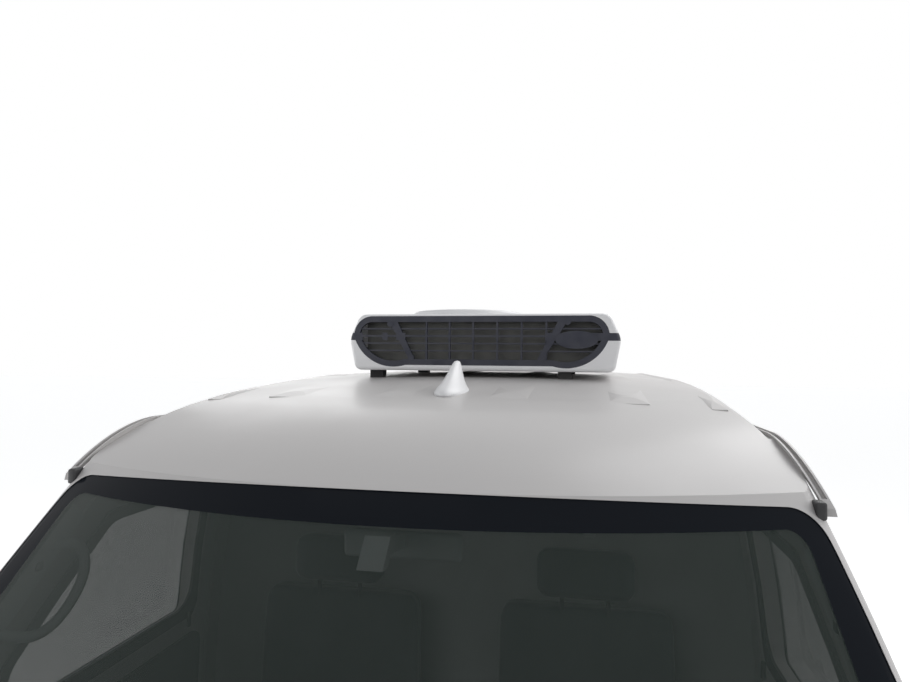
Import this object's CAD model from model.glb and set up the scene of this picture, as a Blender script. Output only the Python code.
import math
import bpy
from mathutils import Matrix, Vector


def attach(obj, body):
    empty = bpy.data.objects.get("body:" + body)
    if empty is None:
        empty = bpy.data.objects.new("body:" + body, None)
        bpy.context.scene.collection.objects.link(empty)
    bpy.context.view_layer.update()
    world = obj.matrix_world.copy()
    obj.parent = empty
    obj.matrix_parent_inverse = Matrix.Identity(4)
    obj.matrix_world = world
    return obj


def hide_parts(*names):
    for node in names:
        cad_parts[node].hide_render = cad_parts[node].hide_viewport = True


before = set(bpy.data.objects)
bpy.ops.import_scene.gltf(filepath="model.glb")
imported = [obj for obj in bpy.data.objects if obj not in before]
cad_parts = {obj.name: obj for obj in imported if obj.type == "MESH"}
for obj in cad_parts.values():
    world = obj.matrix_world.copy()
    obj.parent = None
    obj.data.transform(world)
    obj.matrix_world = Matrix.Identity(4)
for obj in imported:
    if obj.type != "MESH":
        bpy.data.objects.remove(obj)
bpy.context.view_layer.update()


# Camera: above and ahead of the windscreen, a little to the van's left, looking back over the roof.
# The lens is a wide one, and the camera is almost level.
CAMERA_PLACE = (0.336, -2.464, 2.027)
CAMERA_TURN = math.radians(10.876)
CAMERA_RISE = math.radians(1.688)
CAMERA_ROLL = math.radians(0.517)
camera = bpy.data.objects.new("camera", bpy.data.cameras.new("camera"))
bpy.context.scene.collection.objects.link(camera)
camera.data.lens = 26.66
camera.data.sensor_width = 36
camera.data.clip_end = 200
camera.matrix_world = (Matrix.Translation(CAMERA_PLACE) @ Matrix.Rotation(CAMERA_TURN, 4, "Z")
                       @ Matrix.Rotation(math.pi / 2 + CAMERA_RISE, 4, "X")
                       @ Matrix.Rotation(CAMERA_ROLL, 4, "Z"))
bpy.context.scene.camera = camera
bpy.context.scene.view_settings.view_transform = "Standard"


# Studio: a pale floor that keeps the van's shadow, a white surround, and soft lamps like the
# overhead light of a large hall, a little stronger from the van's left.
def by_ray(tree, seen, lit):
    """Chooses what the camera, gloss and glass see, and what lights the van."""
    path = tree.nodes.new("ShaderNodeLightPath")
    looking = path.outputs["Is Camera Ray"]
    for ray in ("Is Glossy Ray", "Is Transmission Ray"):
        either = tree.nodes.new("ShaderNodeMath")
        either.operation = "MAXIMUM"
        tree.links.new(looking, either.inputs[0])
        tree.links.new(path.outputs[ray], either.inputs[1])
        looking = either.outputs[0]
    pick = tree.nodes.new("ShaderNodeMixShader")
    tree.links.new(looking, pick.inputs["Fac"])
    tree.links.new(lit, pick.inputs[1])
    tree.links.new(seen, pick.inputs[2])
    return pick.outputs[0]


world = bpy.data.worlds.new("surround")
bpy.context.scene.world = world
world.use_nodes = True
sky = world.node_tree
for node in list(sky.nodes):
    sky.nodes.remove(node)
white = sky.nodes.new("ShaderNodeBackground")
white.inputs["Color"].default_value = (1, 1, 1, 1)
soft = sky.nodes.new("ShaderNodeBackground")
soft.inputs["Color"].default_value = (0.93, 0.96, 1, 1)
soft.inputs["Strength"].default_value = 0.36
world_out = sky.nodes.new("ShaderNodeOutputWorld")
sky.links.new(by_ray(sky, white.outputs[0], soft.outputs[0]), world_out.inputs["Surface"])

bpy.ops.object.select_all(action="DESELECT")
bpy.ops.mesh.primitive_plane_add(size=120, location=(0, 0, 0))
floor = bpy.context.object
floor.name = "floor"
floor_finish = bpy.data.materials.new("pale_floor")
floor_finish.use_nodes = True
floor_tree = floor_finish.node_tree
floor_shader = floor_tree.nodes["Principled BSDF"]
floor_shader.inputs["Base Color"].default_value = (0.80, 0.80, 0.79, 1)
floor_shader.inputs["Roughness"].default_value = 0.9
glow = floor_tree.nodes.new("ShaderNodeEmission")
glow.inputs["Strength"].default_value = 0.66
lifted = floor_tree.nodes.new("ShaderNodeAddShader")
floor_tree.links.new(floor_shader.outputs[0], lifted.inputs[0])
floor_tree.links.new(glow.outputs[0], lifted.inputs[1])
floor_tree.links.new(by_ray(floor_tree, lifted.outputs[0], floor_shader.outputs[0]),
                     floor_tree.nodes["Material Output"].inputs["Surface"])
floor.data.materials.append(floor_finish)

for lamp_name, place, aim, size, power in (
        ("hall_light", (2.8, 1.8, 5.4), (0, -0.4, 1.8), 4.0, 150),
        ("left_light", (6.5, -2.5, 3.6), (0, 0, 1.4), 3.0, 110),
        ("right_light", (-4.2, -1.8, 1.6), (-0.4, -1.1, 1.4), 2.0, 60),
        ("front_light", (-2.5, -7.0, 4.2), (0, 0, 1.4), 4.0, 60),
        ("rear_light", (-4.0, 7.0, 4.0), (0, 0, 1.2), 4.0, 70)):
    lamp = bpy.data.objects.new(lamp_name, bpy.data.lights.new(lamp_name, "AREA"))
    bpy.context.scene.collection.objects.link(lamp)
    lamp.data.energy = power
    lamp.data.size = size
    lamp.location = place
    lamp.rotation_euler = (Vector(aim) - Vector(place)).to_track_quat("-Z", "Y").to_euler()


# Painted body: pressed steel sides, roof, nose, doors and lids in gloss white, with a cloudy film of dust,
# fine specks and road dirt that thickens towards the sills.
def new_finish(name, colour, roughness, metal=0.0):
    """A finish whose even colour and gloss are set on its shader."""
    finish = bpy.data.materials.new(name)
    finish.use_nodes = True
    shader = finish.node_tree.nodes["Principled BSDF"]
    shader.inputs["Base Color"].default_value = (*colour, 1)
    shader.inputs["Roughness"].default_value = roughness
    shader.inputs["Metallic"].default_value = metal
    return finish, shader


def mottle(finish, scale, detail):
    """Cloudy noise on the piece's own coordinates."""
    tree = finish.node_tree
    place = tree.nodes.new("ShaderNodeTexCoord")
    cloud = tree.nodes.new("ShaderNodeTexNoise")
    cloud.inputs["Scale"].default_value = scale
    cloud.inputs["Detail"].default_value = detail
    tree.links.new(place.outputs["Object"], cloud.inputs["Vector"])
    return cloud.outputs["Fac"]


def ranged(finish, value, low, high, first, last):
    """A value between two limits, turned into one between two others."""
    tree = finish.node_tree
    span = tree.nodes.new("ShaderNodeMapRange")
    for socket, number in (("From Min", low), ("From Max", high), ("To Min", first), ("To Max", last)):
        span.inputs[socket].default_value = number
    tree.links.new(value, span.inputs["Value"])
    return span.outputs["Result"]


def place_along(finish, axis):
    """Where a point lies along X, Y or Z."""
    tree = finish.node_tree
    place = tree.nodes.new("ShaderNodeTexCoord")
    split = tree.nodes.new("ShaderNodeSeparateXYZ")
    tree.links.new(place.outputs["Object"], split.inputs[0])
    return split.outputs[axis]


def height_fade(finish, low, high):
    """One at a low height, falling to nought at a high one."""
    return ranged(finish, place_along(finish, "Z"), low, high, 1, 0)


def times(finish, share, by):
    """A share multiplied by another share or by a number."""
    product = finish.node_tree.nodes.new("ShaderNodeMath")
    product.operation = "MULTIPLY"
    finish.node_tree.links.new(share, product.inputs[0])
    if isinstance(by, float):
        product.inputs[1].default_value = by
    else:
        finish.node_tree.links.new(by, product.inputs[1])
    return product.outputs[0]


def blended(finish, share, first, second):
    """A colour between two, each a colour or the outcome of an earlier blend."""
    tree = finish.node_tree
    mix = tree.nodes.new("ShaderNodeMix")
    mix.data_type = "RGBA"
    tree.links.new(share, mix.inputs["Factor"])
    for socket, colour in ((mix.inputs["A"], first), (mix.inputs["B"], second)):
        if isinstance(colour, tuple):
            socket.default_value = (*colour, 1)
        else:
            tree.links.new(colour, socket)
    return mix.outputs["Result"]


FILM_DUST = (0.60, 0.575, 0.54)
SPECK_DUST = (0.50, 0.48, 0.45)
ROAD_DIRT = (0.30, 0.26, 0.21)
SPLASH_FULL = 0.18
SPLASH_END = 0.75


def body_paint(name, white_colour):
    """White paint under a film of dust and specks, with road dirt splashed up its lowest part."""
    finish, shader = new_finish(name, white_colour, 0.4)
    shader.inputs["Specular IOR Level"].default_value = 0.3
    shader.inputs["Coat Weight"].default_value = 0.12
    shader.inputs["Coat Roughness"].default_value = 0.2
    link = finish.node_tree.links.new
    film = ranged(finish, mottle(finish, 1.1, 8), 0.30, 0.85, 0, 0.16)
    specks = ranged(finish, mottle(finish, 120, 3), 0.66, 0.76, 0, 0.16)
    patches = ranged(finish, mottle(finish, 9, 8), 0.38, 0.66, 0, 1)
    splash = times(finish, height_fade(finish, SPLASH_FULL, SPLASH_END), patches)
    dusty = blended(finish, film, white_colour, FILM_DUST)
    dusty = blended(finish, specks, dusty, SPECK_DUST)
    dirty = blended(finish, times(finish, splash, 0.75), dusty, ROAD_DIRT)
    link(dirty, shader.inputs["Base Color"])
    link(ranged(finish, mottle(finish, 3, 6), 0.30, 0.75, 0.36, 0.50), shader.inputs["Roughness"])
    return finish


def paint_nodes(names, finish):
    """Gives a finish to solids that keep their own mesh."""
    for name in names:
        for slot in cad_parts[name].material_slots:
            slot.material = finish


white_paint = body_paint("white_paint", (0.53, 0.515, 0.51))
paint_nodes(("body_side_left", "body_side_right", "roof_panel", "nose_panel", "hood_lid", "door_left",
             "door_right", "sliding_door", "tailgate", "drip_rails", "bumpers"), white_paint)


# Glass: tinted safety glass in the doors and tailgate. The windscreen has a printed black border,
# wider over the corners, and is split here into the clear middle and the border.
def tinted_glass(name, tint, cover):
    """Dark see-through glass that hides more of what is behind it where it is seen edge on."""
    finish, shader = new_finish(name, tint, 0.03)
    shader.inputs["IOR"].default_value = 1.5
    shader.inputs["Specular IOR Level"].default_value = 0.22
    tree = finish.node_tree
    facing = tree.nodes.new("ShaderNodeLayerWeight")
    facing.inputs["Blend"].default_value = 0.35
    tree.links.new(ranged(finish, facing.outputs["Facing"], 0.0, 1.0, cover, 0.92), shader.inputs["Alpha"])
    return finish


def only(piece):
    """Makes a piece the one selected and active object."""
    bpy.ops.object.select_all(action="DESELECT")
    bpy.context.view_layer.objects.active = piece
    piece.select_set(True)


def another(piece, name):
    """A copy of a piece, with a mesh of its own."""
    copy = piece.copy()
    copy.data = piece.data.copy()
    copy.name = name
    bpy.context.scene.collection.objects.link(copy)
    return copy


def merged_copy(node, name):
    """A copy of a solid's loose triangles, merged into one mesh."""
    piece = another(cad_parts[node], name)
    only(piece)
    bpy.ops.object.mode_set(mode="EDIT")
    bpy.ops.mesh.select_all(action="SELECT")
    bpy.ops.mesh.remove_doubles(threshold=0.00001)
    bpy.ops.object.mode_set(mode="OBJECT")
    return piece


def cut(piece, cutter, way):
    """Keeps or takes away the part of a piece that lies in the cutter."""
    modifier = piece.modifiers.new("cut", "BOOLEAN")
    modifier.operation = way
    modifier.solver = "EXACT"
    modifier.object = cutter
    bpy.context.view_layer.objects.active = piece
    bpy.ops.object.modifier_apply(modifier=modifier.name)
    bpy.ops.mesh.customdata_custom_splitnormals_clear()
    bpy.ops.object.shade_smooth_by_angle(angle=math.radians(30))


def dressed(piece, finish, body):
    """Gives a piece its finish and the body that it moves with."""
    piece.data.materials.clear()
    piece.data.materials.append(finish)
    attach(piece, body)


clear_glass = tinted_glass("tinted_glass", (0.034, 0.048, 0.042), 0.34)
paint_nodes(("door_glass_left", "door_glass_right", "tailgate_glass"), clear_glass)

# The clear middle in front view: heights of its edges, their half-widths and the corners' radius.
CLEAR_TOP = 1.749
CLEAR_LOW = 1.165
CLEAR_HALF_TOP = 0.700
CLEAR_HALF_LOW = 0.772
CLEAR_CORNER = 0.034
CUTTER_REACH = 0.9
bpy.ops.object.select_all(action="DESELECT")
bpy.ops.mesh.primitive_cube_add(size=1, location=(0, -1.9, 0))
window_cutter = bpy.context.object
for corner in window_cutter.data.vertices:
    high = corner.co.z > 0
    half = CLEAR_HALF_TOP if high else CLEAR_HALF_LOW
    corner.co = (math.copysign(half, corner.co.x), math.copysign(CUTTER_REACH, corner.co.y),
                 CLEAR_TOP if high else CLEAR_LOW)
bpy.ops.object.mode_set(mode="EDIT")
bpy.ops.mesh.select_all(action="DESELECT")
bpy.ops.mesh.select_mode(type="EDGE")
bpy.ops.object.mode_set(mode="OBJECT")
for edge in window_cutter.data.edges:
    first, last = (window_cutter.data.vertices[i].co for i in edge.vertices)
    edge.select = abs(first.y - last.y) > CUTTER_REACH
bpy.ops.object.mode_set(mode="EDIT")
bpy.ops.mesh.bevel(offset=CLEAR_CORNER, segments=12, affect="EDGES")
bpy.ops.object.mode_set(mode="OBJECT")

frit_black, frit_shader = new_finish("frit_black", (0.010, 0.012, 0.016), 0.10)
frit_shader.inputs["Specular IOR Level"].default_value = 0.08
frit_shader.inputs["IOR"].default_value = 1.3
windscreen_clear = merged_copy("windscreen", "windscreen_clear")
cut(windscreen_clear, window_cutter, "INTERSECT")
dressed(windscreen_clear, clear_glass, "body")
windscreen_border = merged_copy("windscreen", "windscreen_border")
cut(windscreen_border, window_cutter, "DIFFERENCE")
dressed(windscreen_border, frit_black, "body")
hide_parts("windscreen")
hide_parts("windscreen")
bpy.data.objects.remove(window_cutter)


# Black parts: cowl, wipers, door mirrors, front grille and the cooling unit's fan, moulded in grained
# black plastic and screwed or clipped on. The mirror inside the cab is light grey.
def bumped(finish, shader, height, strength, depth):
    """Grain that only bends the light."""
    tree = finish.node_tree
    bump = tree.nodes.new("ShaderNodeBump")
    bump.inputs["Strength"].default_value = strength
    bump.inputs["Distance"].default_value = depth
    tree.links.new(height, bump.inputs["Height"])
    tree.links.new(bump.outputs["Normal"], shader.inputs["Normal"])


def moulded(name, colour, dusty_colour, roughness, grain_scale=260):
    """A grained or cast surface with patches of dust."""
    finish, shader = new_finish(name, colour, roughness)
    dust = ranged(finish, mottle(finish, 6, 6), 0.45, 0.75, 0, 0.5)
    finish.node_tree.links.new(blended(finish, dust, colour, dusty_colour), shader.inputs["Base Color"])
    rough = ranged(finish, mottle(finish, 30, 4), 0.3, 0.7, roughness - 0.08, roughness + 0.12)
    finish.node_tree.links.new(rough, shader.inputs["Roughness"])
    bumped(finish, shader, mottle(finish, grain_scale, 3), 0.25, 0.0006)
    return finish


black_plastic = moulded("black_plastic", (0.018, 0.018, 0.02), (0.10, 0.095, 0.09), 0.55)
paint_nodes(("cowl_panel", "wipers", "front_grille", "door_mirror_left", "door_mirror_right",
             "condenser_fan"), black_plastic)
mirror_grey = moulded("mirror_grey", (0.46, 0.50, 0.49), (0.50, 0.51, 0.50), 0.45)
paint_nodes(("interior_mirror",), mirror_grey)


# Lamps: clear moulded headlamp lenses at the nose, and tail lamps moulded in red with an amber top and
# a clear foot. One finish serves both, and changes with the place.
AMBER_FROM = 1.085
CLEAR_BELOW = 0.872
COLOUR_STEP = 0.003
REAR_FROM = 1.50
lens_plastic, lens_shader = new_finish("lamp_lens", (0.55, 0.56, 0.58), 0.12)
below_amber = height_fade(lens_plastic, AMBER_FROM, AMBER_FROM + COLOUR_STEP)
at_foot = height_fade(lens_plastic, CLEAR_BELOW, CLEAR_BELOW + COLOUR_STEP)
at_rear = ranged(lens_plastic, place_along(lens_plastic, "Y"), REAR_FROM, REAR_FROM + 0.01, 0, 1)
tail_colour = blended(lens_plastic, below_amber, (0.62, 0.20, 0.02), (0.36, 0.012, 0.010))
tail_colour = blended(lens_plastic, at_foot, tail_colour, (0.50, 0.50, 0.50))
lens_plastic.node_tree.links.new(blended(lens_plastic, at_rear, (0.30, 0.32, 0.35), tail_colour),
                                 lens_shader.inputs["Base Color"])
paint_nodes(("lamps",), lens_plastic)


# Running gear: black chassis paint, rough castings and a dull exhaust pipe, all under road dust. The
# wheels are painted silver, and the tyres are rubber.
chassis_black = moulded("chassis_black", (0.022, 0.022, 0.024), (0.16, 0.14, 0.115), 0.62, 140)
paint_nodes(("chassis_frame", "suspension", "fuel_tank", "cab_floor", "load_floor"), chassis_black)
casting = moulded("rough_casting", (0.10, 0.10, 0.105), (0.20, 0.17, 0.13), 0.7, 90)
paint_nodes(("rear_axle", "engine_block", "knuckle_left", "knuckle_right"), casting)
dull_pipe = moulded("dull_pipe", (0.24, 0.235, 0.23), (0.20, 0.15, 0.11), 0.5, 120)
paint_nodes(("exhaust_pipe",), dull_pipe)
wheel_silver = moulded("wheel_silver", (0.46, 0.47, 0.48), (0.30, 0.27, 0.23), 0.42, 200)
tyre_rubber = moulded("tyre_rubber", (0.02, 0.02, 0.02), (0.10, 0.088, 0.072), 0.82, 160)
for corner in ("front_left", "front_right", "rear_left", "rear_right"):
    paint_nodes(("wheel_" + corner,), wheel_silver)
    paint_nodes(("tyre_" + corner,), tyre_rubber)
paint_nodes(("spare_wheel",), tyre_rubber)


# Cab and load space: the dashboard and steering wheel are moulded in grained dark plastic. The bulkhead
# behind the seats is faced with smooth pale lining board.
dash_plastic = moulded("dash_plastic", (0.055, 0.056, 0.06), (0.12, 0.115, 0.11), 0.6, 220)
paint_nodes(("dashboard", "steering_wheel"), dash_plastic)
lining_board = moulded("lining_board", (0.58, 0.60, 0.59), (0.47, 0.47, 0.45), 0.6, 120)
paint_nodes(("bulkhead",), lining_board)


# Cooling unit: a white moulded housing on rubber feet, with a dark navy grille in its mouth and the
# aluminium fins of the coil behind it.
unit_white = body_paint("unit_white", (0.80, 0.80, 0.81))
paint_nodes(("cooling_unit_housing", "antenna_fin"), unit_white)
unit_navy = moulded("unit_navy", (0.012, 0.014, 0.026), (0.032, 0.033, 0.043), 0.55)
paint_nodes(("cooling_unit_grille",), unit_navy)
coil_fins = moulded("coil_fins", (0.105, 0.105, 0.098), (0.05, 0.05, 0.048), 0.6, 500)
paint_nodes(("condenser_coil",), coil_fins)
foot_rubber = moulded("foot_rubber", (0.015, 0.015, 0.016), (0.09, 0.085, 0.08), 0.75, 160)
paint_nodes(("unit_feet",), foot_rubber)


# Drip-rail end caps: short black rubber plugs with rounded edges, pushed over the front ends of the
# gutter rails. Places here and below are given as X, the station back from the front bumper, and Z.
MID_STATION = 2.3475


def block_piece(name, low, high, radius, segments=3):
    """A block between two corners, with rounded edges."""
    bpy.ops.object.select_all(action="DESELECT")
    middle = [(a + b) / 2 for a, b in zip(low, high)]
    bpy.ops.mesh.primitive_cube_add(size=1, location=(middle[0], middle[1] - MID_STATION, middle[2]))
    piece = bpy.context.object
    piece.name = name
    piece.scale = [b - a for a, b in zip(low, high)]
    bpy.ops.object.transform_apply(location=True, rotation=True, scale=True)
    bpy.ops.object.mode_set(mode="EDIT")
    bpy.ops.mesh.select_all(action="SELECT")
    bpy.ops.mesh.bevel(offset=radius, segments=segments, affect="EDGES")
    bpy.ops.object.mode_set(mode="OBJECT")
    bpy.ops.object.shade_smooth_by_angle(angle=math.radians(40))
    return piece


def both_hands(piece):
    """The piece and its mirror image on the van's other side."""
    mirrored = another(piece, piece.name + "_right")
    piece.name = piece.name + "_left"
    for vertex in mirrored.data.vertices:
        vertex.co.x = -vertex.co.x
    mirrored.data.flip_normals()
    return piece, mirrored


for cap in both_hands(block_piece("rail_cap", (0.729, 1.148, 1.757), (0.748, 1.180, 1.789), 0.005)):
    dressed(cap, black_plastic, "body")


# Door window seals: black rubber strips round each front window, a wide one inside and a narrow one
# outside the glass. They lean with the door's side.
WAIST = 1.350
SIDE_BELOW_WAIST = ((0.850, 0.8475), (1.100, 0.842), (WAIST, 0.8248))
SIDE_ABOVE_WAIST = ((WAIST, 0.8248), (1.600, 0.789), (1.880, 0.717))
CORNER_STEPS = 7


def side_skin(z):
    """Half-width of the body's outer face at a height, on the curve through three of its points."""
    points = SIDE_BELOW_WAIST if z < WAIST else SIDE_ABOVE_WAIST
    half_width = 0
    for height, width in points:
        for other, _ in points:
            if other != height:
                width *= (z - other) / (height - other)
        half_width += width
    return half_width


def rounded_loop(corners, radius):
    """Points round a closed outline whose corners are replaced by arcs."""
    points = []
    for i, corner in enumerate(corners):
        corner = Vector(corner)
        back = (Vector(corners[i - 1]) - corner).normalized()
        ahead = (Vector(corners[(i + 1) % len(corners)]) - corner).normalized()
        half = back.angle(ahead) / 2
        reach = radius / math.tan(half)
        centre = corner + (back + ahead).normalized() * radius / math.sin(half)
        first, last = corner + back * reach - centre, corner + ahead * reach - centre
        start = math.atan2(first.y, first.x)
        turn = (math.atan2(last.y, last.x) - start + math.pi) % (2 * math.pi) - math.pi
        for k in range(CORNER_STEPS + 1):
            angle = start + turn * k / CORNER_STEPS
            points.append((centre.x + radius * math.cos(angle), centre.y + radius * math.sin(angle)))
    return points


def side_panel(name, loops, depth, thickness):
    """A flat panel on the left side, cut to loops of (station, height) and leant with the body's side."""
    bpy.ops.object.select_all(action="DESELECT")
    outline = bpy.data.curves.new(name, "CURVE")
    outline.dimensions = "2D"
    outline.fill_mode = "BOTH"
    outline.extrude = thickness / 2
    for loop in loops:
        spline = outline.splines.new("POLY")
        spline.points.add(len(loop) - 1)
        for point, (s, z) in zip(spline.points, loop):
            point.co = (s - MID_STATION, z, 0, 1)
        spline.use_cyclic_u = True
    holder = bpy.data.objects.new(name, outline)
    bpy.context.scene.collection.objects.link(holder)
    only(holder)
    bpy.ops.object.convert(target="MESH")
    piece = bpy.context.object
    bpy.ops.object.mode_set(mode="EDIT")
    bpy.ops.mesh.select_all(action="SELECT")
    bpy.ops.mesh.remove_doubles(threshold=0.00001)
    bpy.ops.mesh.subdivide(number_cuts=1)
    bpy.ops.mesh.normals_make_consistent(inside=False)
    bpy.ops.object.mode_set(mode="OBJECT")
    for vertex in piece.data.vertices:
        y, z, x = vertex.co
        vertex.co = (side_skin(z) - depth - thickness / 2 + x, y, z)
    bpy.ops.object.shade_smooth_by_angle(angle=math.radians(35))
    return piece


def on_doors(piece, finish):
    """Dresses a piece and its mirror image, each to swing with its own front door."""
    for hand, side in zip(both_hands(piece), ("left", "right")):
        dressed(hand, finish, "door_%s_body" % side)


rubber = moulded("seal_rubber", (0.010, 0.011, 0.012), (0.06, 0.06, 0.058), 0.6, 200)
inside_loops = (rounded_loop([(0.885, 1.285), (1.700, 1.285), (1.686, 1.680), (1.255, 1.680)], 0.035),
                rounded_loop([(0.945, 1.320), (1.668, 1.320), (1.655, 1.652), (1.272, 1.652)], 0.062))
outside_loops = (rounded_loop([(0.852, 1.277), (1.704, 1.277), (1.689, 1.689), (1.252, 1.689)], 0.030),
                 rounded_loop([(0.890, 1.296), (1.686, 1.296), (1.671, 1.671), (1.264, 1.671)], 0.020))
inside_seal = side_panel("window_seal_inside", inside_loops, 0.0455, 0.007)
outside_seal = side_panel("window_seal_outside", outside_loops, -0.001, 0.003)
for seal in (inside_seal, outside_seal):
    on_doors(seal, rubber)


# Door trims: a dark moulded card clipped to the inside of each front door below its painted frame, with
# an armrest on it and a lock knob at the rear of the window ledge.
card_plastic = moulded("card_plastic", (0.030, 0.036, 0.042), (0.07, 0.075, 0.08), 0.7, 240)
card_loop = rounded_loop([(0.700, 0.900), (1.735, 0.600), (1.735, 1.232), (0.700, 1.232)], 0.045)
card = side_panel("door_card", (card_loop,), 0.046, 0.008)
armrest = block_piece("armrest", (0.742, 1.16, 1.000), (0.792, 1.56, 1.045), 0.018, 5)
knob = block_piece("lock_knob", (0.755, 1.632, 1.268), (0.767, 1.644, 1.312), 0.0055, 4)
for part, finish in ((card, card_plastic), (armrest, card_plastic), (knob, rubber)):
    on_doors(part, finish)


# Windscreen pillar trims: light grey covers inside the sloping pillars, each with a dark screw plug.
# The passenger's has a curved grab handle of the same plastic.
GRAB_ROUTE = ((-0.735, 1.085, 1.640), (-0.700, 1.120, 1.655), (-0.690, 1.150, 1.610), (-0.695, 1.130, 1.540),
              (-0.705, 1.060, 1.478), (-0.725, 1.020, 1.480), (-0.755, 0.995, 1.502))


def tube(name, route, radius):
    """A round bar that follows control points."""
    line = bpy.data.curves.new(name, "CURVE")
    line.dimensions = "3D"
    line.bevel_depth = radius
    line.bevel_resolution = 6
    line.use_fill_caps = True
    spline = line.splines.new("NURBS")
    spline.points.add(len(route) - 1)
    for point, (x, s, z) in zip(spline.points, route):
        point.co = (x, s - MID_STATION, z, 1)
    spline.order_u = 4
    spline.use_endpoint_u = True
    spline.resolution_u = 8
    holder = bpy.data.objects.new(name, line)
    bpy.context.scene.collection.objects.link(holder)
    only(holder)
    bpy.ops.object.convert(target="MESH")
    bpy.ops.object.shade_smooth_by_angle(angle=math.radians(50))
    return bpy.context.object


pillar_grey = moulded("pillar_grey", (0.60, 0.64, 0.63), (0.50, 0.52, 0.51), 0.55, 260)
pillar_loop = rounded_loop([(1.165, 1.690), (1.120, 1.725), (0.690, 1.240), (0.735, 1.205)], 0.012)
pillar = side_panel("pillar_trim", (pillar_loop,), 0.0455, 0.010)
plug = block_piece("pillar_plug", (0.726, 1.048, 1.602), (0.734, 1.068, 1.622), 0.004)
for part, finish in ((pillar, pillar_grey), (plug, card_plastic)):
    for piece in both_hands(part):
        dressed(piece, finish, "body")
grab_handle = tube("grab_handle", GRAB_ROUTE, 0.0105)
dressed(grab_handle, pillar_grey, "body")


# Headlining: pressed board under the cab roof that follows its curves, with a roof lamp and the clip of a
# sun visor. The roof is a round cap over the windscreen, turned about one centre in plan, and behind it a
# crowned panel that falls a little towards the front.
PLAN_CENTRE = 2.700
CAP_STATION = 1.5489
CAP_HEIGHT = 0.762
CAP_RADIUS = 1.165
ROOF_HEIGHT = 1.980
ROOF_LEVEL_FROM = 2.460
ROOF_FALL = 18.4
ROOF_CROWN = 24
ROOF_DEPTH = 0.045
LINING_WIDTH = 1.30
LINING_LENGTH = 0.68
LINING_STATION = 1.475


def roof_underside(x, s):
    """Height just under the inner face of the roof."""
    turned = PLAN_CENTRE - math.hypot(PLAN_CENTRE - s, x)
    cap = CAP_HEIGHT + math.sqrt(CAP_RADIUS**2 - max(0, CAP_STATION - turned)**2)
    roof = ROOF_HEIGHT - max(0, ROOF_LEVEL_FROM - s)**2 / ROOF_FALL - x * x / ROOF_CROWN
    return min(cap, roof) - ROOF_DEPTH


bpy.ops.object.select_all(action="DESELECT")
bpy.ops.mesh.primitive_grid_add(x_subdivisions=16, y_subdivisions=16, size=1)
headlining = bpy.context.object
headlining.name = "headlining"
for vertex in headlining.data.vertices:
    x, s = vertex.co.x * LINING_WIDTH, LINING_STATION + vertex.co.y * LINING_LENGTH
    vertex.co = (x, s - MID_STATION, roof_underside(x, s) - 0.009)
thicken = headlining.modifiers.new("board", "SOLIDIFY")
thicken.thickness = 0.005
bpy.ops.object.modifier_apply(modifier=thicken.name)
bpy.ops.object.shade_smooth_by_angle(angle=math.radians(35))
lining_grey = moulded("lining_grey", (0.36, 0.39, 0.385), (0.30, 0.31, 0.30), 0.85, 400)
dressed(headlining, lining_grey, "body")
cab_lamp = block_piece("cab_lamp", (-0.060, 1.400, 1.845), (0.060, 1.480, 1.866), 0.008)
dressed(cab_lamp, pillar_grey, "body")
visor_clip = block_piece("visor_clip", (0.332, 1.030, 1.735), (0.356, 1.046, 1.756), 0.006, 4)
dressed(visor_clip, pillar_grey, "body")


# Seats: two cloth seats on steel plinths, each with a crowned cushion, a tall back with side
# bolsters and sewn channels, and a headrest on two rods.
CHANNEL_WIDTH = 0.045


def subdivided(piece):
    """Smooths a piece's faces by one level and its shading all over."""
    smooth = piece.modifiers.new("smooth", "SUBSURF")
    smooth.levels = smooth.render_levels = 1
    bpy.ops.object.modifier_apply(modifier=smooth.name)
    bpy.ops.object.shade_smooth()


def pad(name, low, high, lean, edge, crown, channels, cuts=22):
    """A padded block between two corners, crowned and rounded, leant back about its lower rear edge."""
    bpy.ops.object.select_all(action="DESELECT")
    bpy.ops.mesh.primitive_cube_add(size=2)
    piece = bpy.context.object
    piece.name = name
    bpy.ops.object.mode_set(mode="EDIT")
    bpy.ops.mesh.select_all(action="SELECT")
    bpy.ops.mesh.subdivide(number_cuts=cuts)
    bpy.ops.object.mode_set(mode="OBJECT")
    half = Vector([(b - a) / 2 for a, b in zip(low, high)])
    middle = Vector([(a + b) / 2 for a, b in zip(low, high)])
    thin = min(range(3), key=lambda k: half[k])
    across, along = [k for k in range(3) if k != thin]
    for vertex in piece.data.vertices:
        unit = vertex.co.copy()
        place = Vector([u * h for u, h in zip(unit, half)])
        core = Vector([max(-h + edge, min(h - edge, p)) for p, h in zip(place, half)])
        out = place - core
        if out.length > 0:
            place = core + out.normalized() * min(edge, max(abs(v) for v in out))
        swell = crown * (1 - unit[across]**2) * (1 - unit[along]**2) - 0.35 * crown
        for lane, depth, direction in channels:
            side, run = (unit[across], unit[along]) if direction == "along" else (unit[along], unit[across])
            swell -= depth * math.exp(-((abs(side) - lane) / CHANNEL_WIDTH)**2) * (1 - run**4)
        place[thin] += unit[thin] * swell
        place[across] -= unit[across] * 0.25 * crown * unit[along]**2
        vertex.co = place
    turn = Matrix.Rotation(math.radians(lean), 4, "X")
    foot = Vector((0, half.y, -half.z))
    for vertex in piece.data.vertices:
        vertex.co = turn @ (vertex.co - foot) + foot + middle - Vector((0, MID_STATION, 0))
    subdivided(piece)
    return piece


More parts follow.
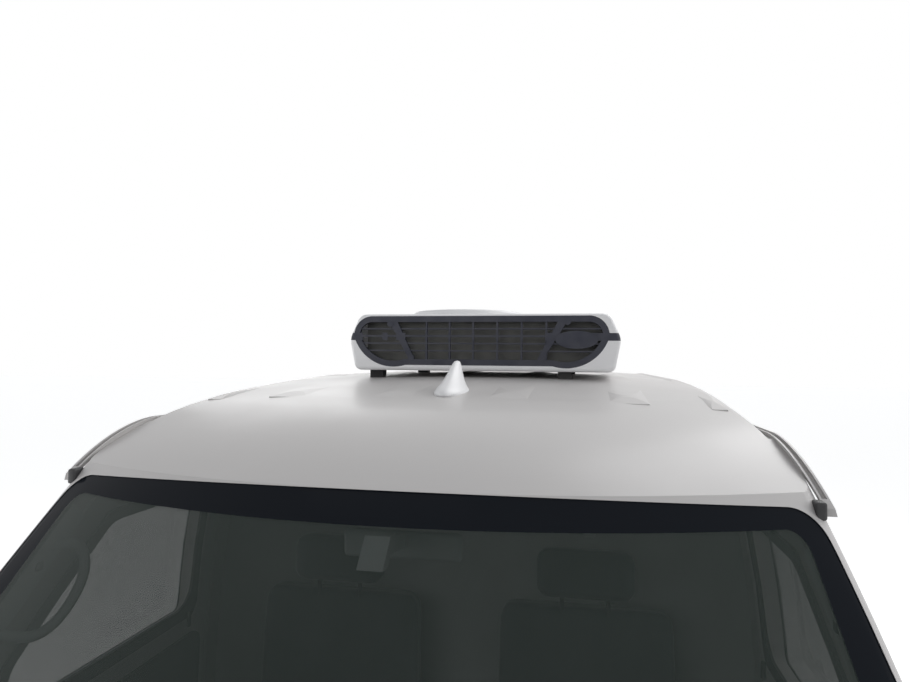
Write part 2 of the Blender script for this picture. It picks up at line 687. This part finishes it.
def woven(name, colour, light_colour):
    """Close-woven cloth with a faint rib."""
    finish, shader = new_finish(name, colour, 0.92)
    shader.inputs["Sheen Weight"].default_value = 0.35
    shader.inputs["Sheen Roughness"].default_value = 0.5
    worn = ranged(finish, mottle(finish, 7, 6), 0.4, 0.75, 0, 0.6)
    finish.node_tree.links.new(blended(finish, worn, colour, light_colour), shader.inputs["Base Color"])
    tree = finish.node_tree
    place = tree.nodes.new("ShaderNodeTexCoord")
    rib = tree.nodes.new("ShaderNodeTexWave")
    rib.bands_direction = "X"
    rib.inputs["Scale"].default_value = 130
    rib.inputs["Distortion"].default_value = 2
    tree.links.new(place.outputs["Object"], rib.inputs["Vector"])
    bumped(finish, shader, rib.outputs["Fac"], 0.3, 0.001)
    return finish


seat_cloth = woven("seat_cloth", (0.060, 0.070, 0.072), (0.095, 0.105, 0.108))
plinth_steel = moulded("plinth_steel", (0.03, 0.03, 0.032), (0.10, 0.095, 0.09), 0.5, 160)
for x, hand in ((-0.340, "right"), (0.340, "left")):
    cushion = pad("seat_cushion_" + hand, (x - 0.235, 1.185, 0.842), (x + 0.235, 1.640, 0.945), 3,
                  0.036, 0.020, ((0.52, 0.008, "along"), (0.42, 0.006, "across")))
    back = pad("seat_back_" + hand, (x - 0.228, 1.652, 0.880), (x + 0.228, 1.756, 1.372), -5,
               0.036, 0.016, ((0.54, 0.009, "along"), (0.40, 0.006, "across")))
    rest = pad("headrest_" + hand, (x - 0.128, 1.672, 1.402), (x + 0.128, 1.748, 1.528), -4,
               0.030, 0.010, ((0.62, 0.004, "along"),), 14)
    for part, fill in ((cushion, 0.8), (back, 0.8), (rest, 0.9)):
        dressed(part, seat_cloth, "body")
        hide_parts("seats")
    plinth = block_piece("seat_plinth_" + hand, (x - 0.200, 1.250, 0.8205), (x + 0.200, 1.740, 0.852), 0.006)
    recliner = block_piece("seat_recliner_" + hand, (x - 0.243, 1.600, 0.850), (x - 0.225, 1.680, 0.960),
                           0.008)
    rods = []
    for rod_x in (x - 0.06, x + 0.06):
        route = ((rod_x, 1.712, 1.360), (rod_x, 1.712, 1.390), (rod_x, 1.711, 1.430))
        rods.append(tube("headrest_rod", route, 0.006))
    for part in [plinth, recliner] + rods:
        dressed(part, plinth_steel, "body")
        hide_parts("seats")


# Wheels: silver pressed discs with five nuts and a domed hub cap; tyres with three tread grooves and
# two rows of shoulder blocks.
HALF_TRACK = 0.735
AXLE_HEIGHT = 0.337
FRONT_AXLE = 1.140
REAR_AXLE = 3.710
NUT_COUNT = 5
LUG_COUNT = 72
LUG_SIZE = (0.022, 0.0115, 0.010)
LUG_ACROSS = 0.0835
LUG_RADIUS = 0.3262
TYRE_SECTION = ((-0.0715, 0.1910), (-0.0715, 0.2045), (-0.0895, 0.2380), (-0.0970, 0.2620), (-0.0972, 0.2850),
                (-0.0930, 0.3080), (-0.0850, 0.3235), (-0.0760, 0.3310), (-0.0560, 0.3340), (-0.0540, 0.3265),
                (-0.0460, 0.3265), (-0.0440, 0.3350), (-0.0060, 0.3368), (-0.0040, 0.3290), (0.0040, 0.3290),
                (0.0060, 0.3368), (0.0440, 0.3350), (0.0460, 0.3265), (0.0540, 0.3265), (0.0560, 0.3340),
                (0.0760, 0.3310), (0.0850, 0.3235), (0.0930, 0.3080), (0.0972, 0.2850), (0.0970, 0.2620),
                (0.0895, 0.2380), (0.0715, 0.2045), (0.0715, 0.1910), (0.0600, 0.1910), (0.0800, 0.2650),
                (0.0600, 0.3190), (-0.0600, 0.3190), (-0.0800, 0.2650), (-0.0600, 0.1910))


def round_piece(name, centre, radius, length, axis, rounding, segments=24, steps=2):
    """A round bar along X or Y, with rounded rims."""
    bpy.ops.object.select_all(action="DESELECT")
    turn = (0, math.pi / 2, 0) if axis == "X" else (math.pi / 2, 0, 0)
    bpy.ops.mesh.primitive_cylinder_add(vertices=segments, radius=radius, depth=length, rotation=turn,
                                        location=(centre[0], centre[1] - MID_STATION, centre[2]))
    piece = bpy.context.object
    piece.name = name
    bpy.ops.object.transform_apply(location=True, rotation=True, scale=True)
    trim = piece.modifiers.new("rim", "BEVEL")
    trim.width = rounding
    trim.segments = steps
    trim.limit_method = "ANGLE"
    trim.angle_limit = math.radians(50)
    bpy.ops.object.modifier_apply(modifier=trim.name)
    bpy.ops.object.shade_smooth_by_angle(angle=math.radians(40))
    return piece


def joined(pieces, name):
    """Several pieces made one."""
    bpy.ops.object.select_all(action="DESELECT")
    for piece in pieces:
        piece.select_set(True)
    bpy.context.view_layer.objects.active = pieces[0]
    bpy.ops.object.join()
    pieces[0].name = name
    return pieces[0]


def spun(name, section, steps):
    """A closed (across, radius) section spun about the wheel's axis, which lies along X at the origin."""
    bpy.ops.object.select_all(action="DESELECT")
    mesh = bpy.data.meshes.new(name)
    edges = [(i, (i + 1) % len(section)) for i in range(len(section))]
    mesh.from_pydata([(a, 0, r) for a, r in section], edges, [])
    piece = bpy.data.objects.new(name, mesh)
    bpy.context.scene.collection.objects.link(piece)
    only(piece)
    bpy.ops.object.mode_set(mode="EDIT")
    bpy.ops.mesh.select_all(action="SELECT")
    bpy.ops.mesh.spin(steps=steps, angle=2 * math.pi, center=(0, 0, 0), axis=(1, 0, 0))
    bpy.ops.mesh.select_all(action="SELECT")
    bpy.ops.mesh.remove_doubles(threshold=0.00002)
    bpy.ops.mesh.normals_make_consistent(inside=False)
    bpy.ops.object.mode_set(mode="OBJECT")
    bpy.ops.object.shade_smooth_by_angle(angle=math.radians(35))
    return piece


tread = spun("tyre_tread", TYRE_SECTION, 96)
lugs = []
for across in (-LUG_ACROSS, LUG_ACROSS):
    bpy.ops.object.select_all(action="DESELECT")
    bpy.ops.mesh.primitive_cube_add(size=1)
    lug = bpy.context.object
    lug.scale = LUG_SIZE
    lug.location = (across, 0, LUG_RADIUS)
    lug.rotation_euler = (0, math.copysign(math.radians(24), across), 0)
    bpy.ops.object.transform_apply(location=True, rotation=True, scale=True)
    for k in range(LUG_COUNT):
        copy = another(lug, "lug")
        copy.data.transform(Matrix.Rotation(2 * math.pi * k / LUG_COUNT, 4, "X"))
        lugs.append(copy)
    bpy.data.objects.remove(lug)
tread = joined([tread] + lugs, "tyre_tread")
nuts = []
for k in range(NUT_COUNT):
    nut = round_piece("wheel_nut", (0.044, MID_STATION, 0.057), 0.0105, 0.018, "X", 0.0015, 6)
    nut.data.transform(Matrix.Rotation(2 * math.pi * k / NUT_COUNT, 4, "X"))
    nuts.append(nut)
hub_cap = round_piece("hub_cap", (0.043, MID_STATION, 0), 0.034, 0.030, "X", 0.009, 32, 4)
fixings = joined(nuts + [hub_cap], "wheel_fixings")
for end, s in (("front", FRONT_AXLE), ("rear", REAR_AXLE)):
    for side, x in (("left", HALF_TRACK), ("right", -HALF_TRACK)):
        for source, finish, slot_name in ((tread, tyre_rubber, "tyre_rubber"),
                                          (fixings, wheel_silver, "wheel_steel")):
            piece = another(source, "%s_%s_%s" % (source.name, end, side))
            if side == "right":
                piece.data.transform(Matrix.Rotation(math.pi, 4, "Z"))
            piece.data.transform(Matrix.Translation((x, s - MID_STATION, AXLE_HEIGHT)))
            dressed(piece, finish, "wheel_%s_%s_body" % (end, side))
            if source is tread:
                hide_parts("tyre_%s_%s" % (end, side))
bpy.data.objects.remove(tread)
bpy.data.objects.remove(fixings)


# Door handles and locks: painted pull handles on dark recess plates with a key lock behind them, on the
# front doors and on the sliding door, and a painted handle bar across the tailgate.
HANDLE_HEIGHT = 1.050


def on_side(piece):
    """Leans a left-side piece so that it lies on the body's side, with its X measured outwards from it."""
    for vertex in piece.data.vertices:
        vertex.co.x += side_skin(vertex.co.z)
    return piece


for name, s, left_body, right_body in (("door_handle", 1.650, "door_left_body", "door_right_body"),
                                       ("slider_handle", 1.905, None, "body")):
    z = HANDLE_HEIGHT
    recess = block_piece(name + "_recess", (-0.003, s - 0.062, z - 0.024), (0.002, s + 0.062, z + 0.024),
                         0.002)
    grip = block_piece(name + "_grip", (0.012, s - 0.055, z - 0.012), (0.024, s + 0.055, z + 0.012), 0.005)
    front_post, rear_post = [
        block_piece(name + "_post", (0.000, post - 0.010, z - 0.010), (0.016, post + 0.010, z + 0.010), 0.003)
        for post in (s - 0.044, s + 0.044)]
    lock = round_piece(name + "_lock", (0.001, s + 0.088, z), 0.0095, 0.006, "X", 0.001)
    for part, finish in ((recess, black_plastic), (grip, white_paint), (lock, wheel_silver),
                         (front_post, white_paint), (rear_post, white_paint)):
        left, right = both_hands(on_side(part))
        for piece, body in ((left, left_body), (right, right_body)):
            if body is None:
                bpy.data.objects.remove(piece)
            else:
                dressed(piece, finish, body)
gate_bar = block_piece("tailgate_handle", (-0.160, 4.606, 1.118), (0.160, 4.640, 1.150), 0.008)
dressed(gate_bar, white_paint, "tailgate_body")


# Mirror glass: flat silvered plates, set in the rear faces of the door mirrors' housings. They swing
# with the doors.
mirror_glass, _ = new_finish("mirror_glass", (0.80, 0.82, 0.83), 0.03, 1.0)
mirror_plate = block_piece("mirror_plate", (0.902, 0.983, 1.232), (1.043, 0.987, 1.430), 0.0019)
on_doors(mirror_plate, mirror_glass)


# Aerial: a shark fin of painted plastic on the roof's middle, moulded in one piece; its ridge rises in a
# curve to a rear-set tip and its foot flares to meet the roof. Each level has its height, station,
# half-width and half-length.
FIN_X = -0.014
FIN_LEVELS = ((1.926, 1.660, 0.0520, 0.118), (1.948, 1.662, 0.0450, 0.109), (1.960, 1.675, 0.0350, 0.092),
              (1.975, 1.692, 0.0270, 0.072), (1.992, 1.708, 0.0205, 0.054), (2.008, 1.722, 0.0155, 0.039),
              (2.020, 1.733, 0.0110, 0.026), (2.028, 1.741, 0.0060, 0.013))
bpy.ops.object.select_all(action="DESELECT")
bpy.ops.mesh.primitive_cylinder_add(vertices=48, radius=1, depth=2)
fin = bpy.context.object
fin.name = "antenna_fin_moulding"
top_level = len(FIN_LEVELS) - 1
bpy.ops.object.mode_set(mode="EDIT")
for k in range(1, top_level):
    bpy.ops.mesh.select_all(action="SELECT")
    bpy.ops.mesh.bisect(plane_co=(0, 0, -1 + 2 * k / top_level), plane_no=(0, 0, 1))
bpy.ops.object.mode_set(mode="OBJECT")
for vertex in fin.data.vertices:
    z, s, half_width, half_length = FIN_LEVELS[round((vertex.co.z + 1) / 2 * top_level)]
    pinch = 1 - 0.2 * max(0, -vertex.co.y)
    vertex.co = (FIN_X + vertex.co.x * half_width * pinch, s - MID_STATION + vertex.co.y * half_length, z)
subdivided(fin)
dressed(fin, unit_white, "body")
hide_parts("antenna_fin")


# Cooling unit's grille: the moulding from the frame, with the side bands trimmed off where they would
# cross the mouth, so that only the slats show there.
BAND = (2.0948, 2.1202)
SLAT = (2.1062, 2.1122)
GRILLE_STATION = 2.078
CLEAR_RUNS = ((-0.404, -0.335), (-0.317, -0.287), (-0.255, -0.187), (-0.179, -0.108), (-0.100, -0.029),
              (-0.021, 0.051), (0.059, 0.131), (0.139, 0.211))
trims = []
for left, right in CLEAR_RUNS:
    for low, high in ((BAND[0], SLAT[0]), (SLAT[1], BAND[1])):
        middle = ((left + right) / 2, GRILLE_STATION - MID_STATION, (low + high) / 2)
        bpy.ops.object.select_all(action="DESELECT")
        bpy.ops.mesh.primitive_cube_add(size=1, location=middle)
        trim = bpy.context.object
        trim.scale = (right - left, 0.020, high - low)
        bpy.ops.object.transform_apply(location=True, rotation=True, scale=True)
        trims.append(trim)
band_cutter = joined(trims, "band_cutter")
unit_grille = merged_copy("cooling_unit_grille", "cooling_unit_grille_trimmed")
cut(unit_grille, band_cutter, "DIFFERENCE")
dressed(unit_grille, unit_navy, "body")
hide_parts("cooling_unit_grille")
bpy.data.objects.remove(band_cutter)


# Bumper inserts: black mesh behind the front bumper's lower intake with slats across it, and a dark lamp
# in each of its round corner recesses. All are pressed in from behind.
SLAT_COUNT = 5
LOWEST_SLAT = 0.302
SLAT_PITCH = 0.018
intake = block_piece("intake_mesh", (-0.375, 0.076, 0.262), (0.375, 0.084, 0.415), 0.002)
dressed(intake, black_plastic, "body")
for k in range(SLAT_COUNT):
    z = LOWEST_SLAT + SLAT_PITCH * k
    slat = block_piece("intake_slat", (-0.365, 0.062, z - 0.003), (0.365, 0.0765, z + 0.003), 0.001)
    dressed(slat, black_plastic, "body")
fog_lamp = round_piece("fog_lamp", (0.620, 0.118, 0.340), 0.0515, 0.030, "Y", 0.008, 32, 3)
for corner_lamp in both_hands(fog_lamp):
    dressed(corner_lamp, black_plastic, "body")
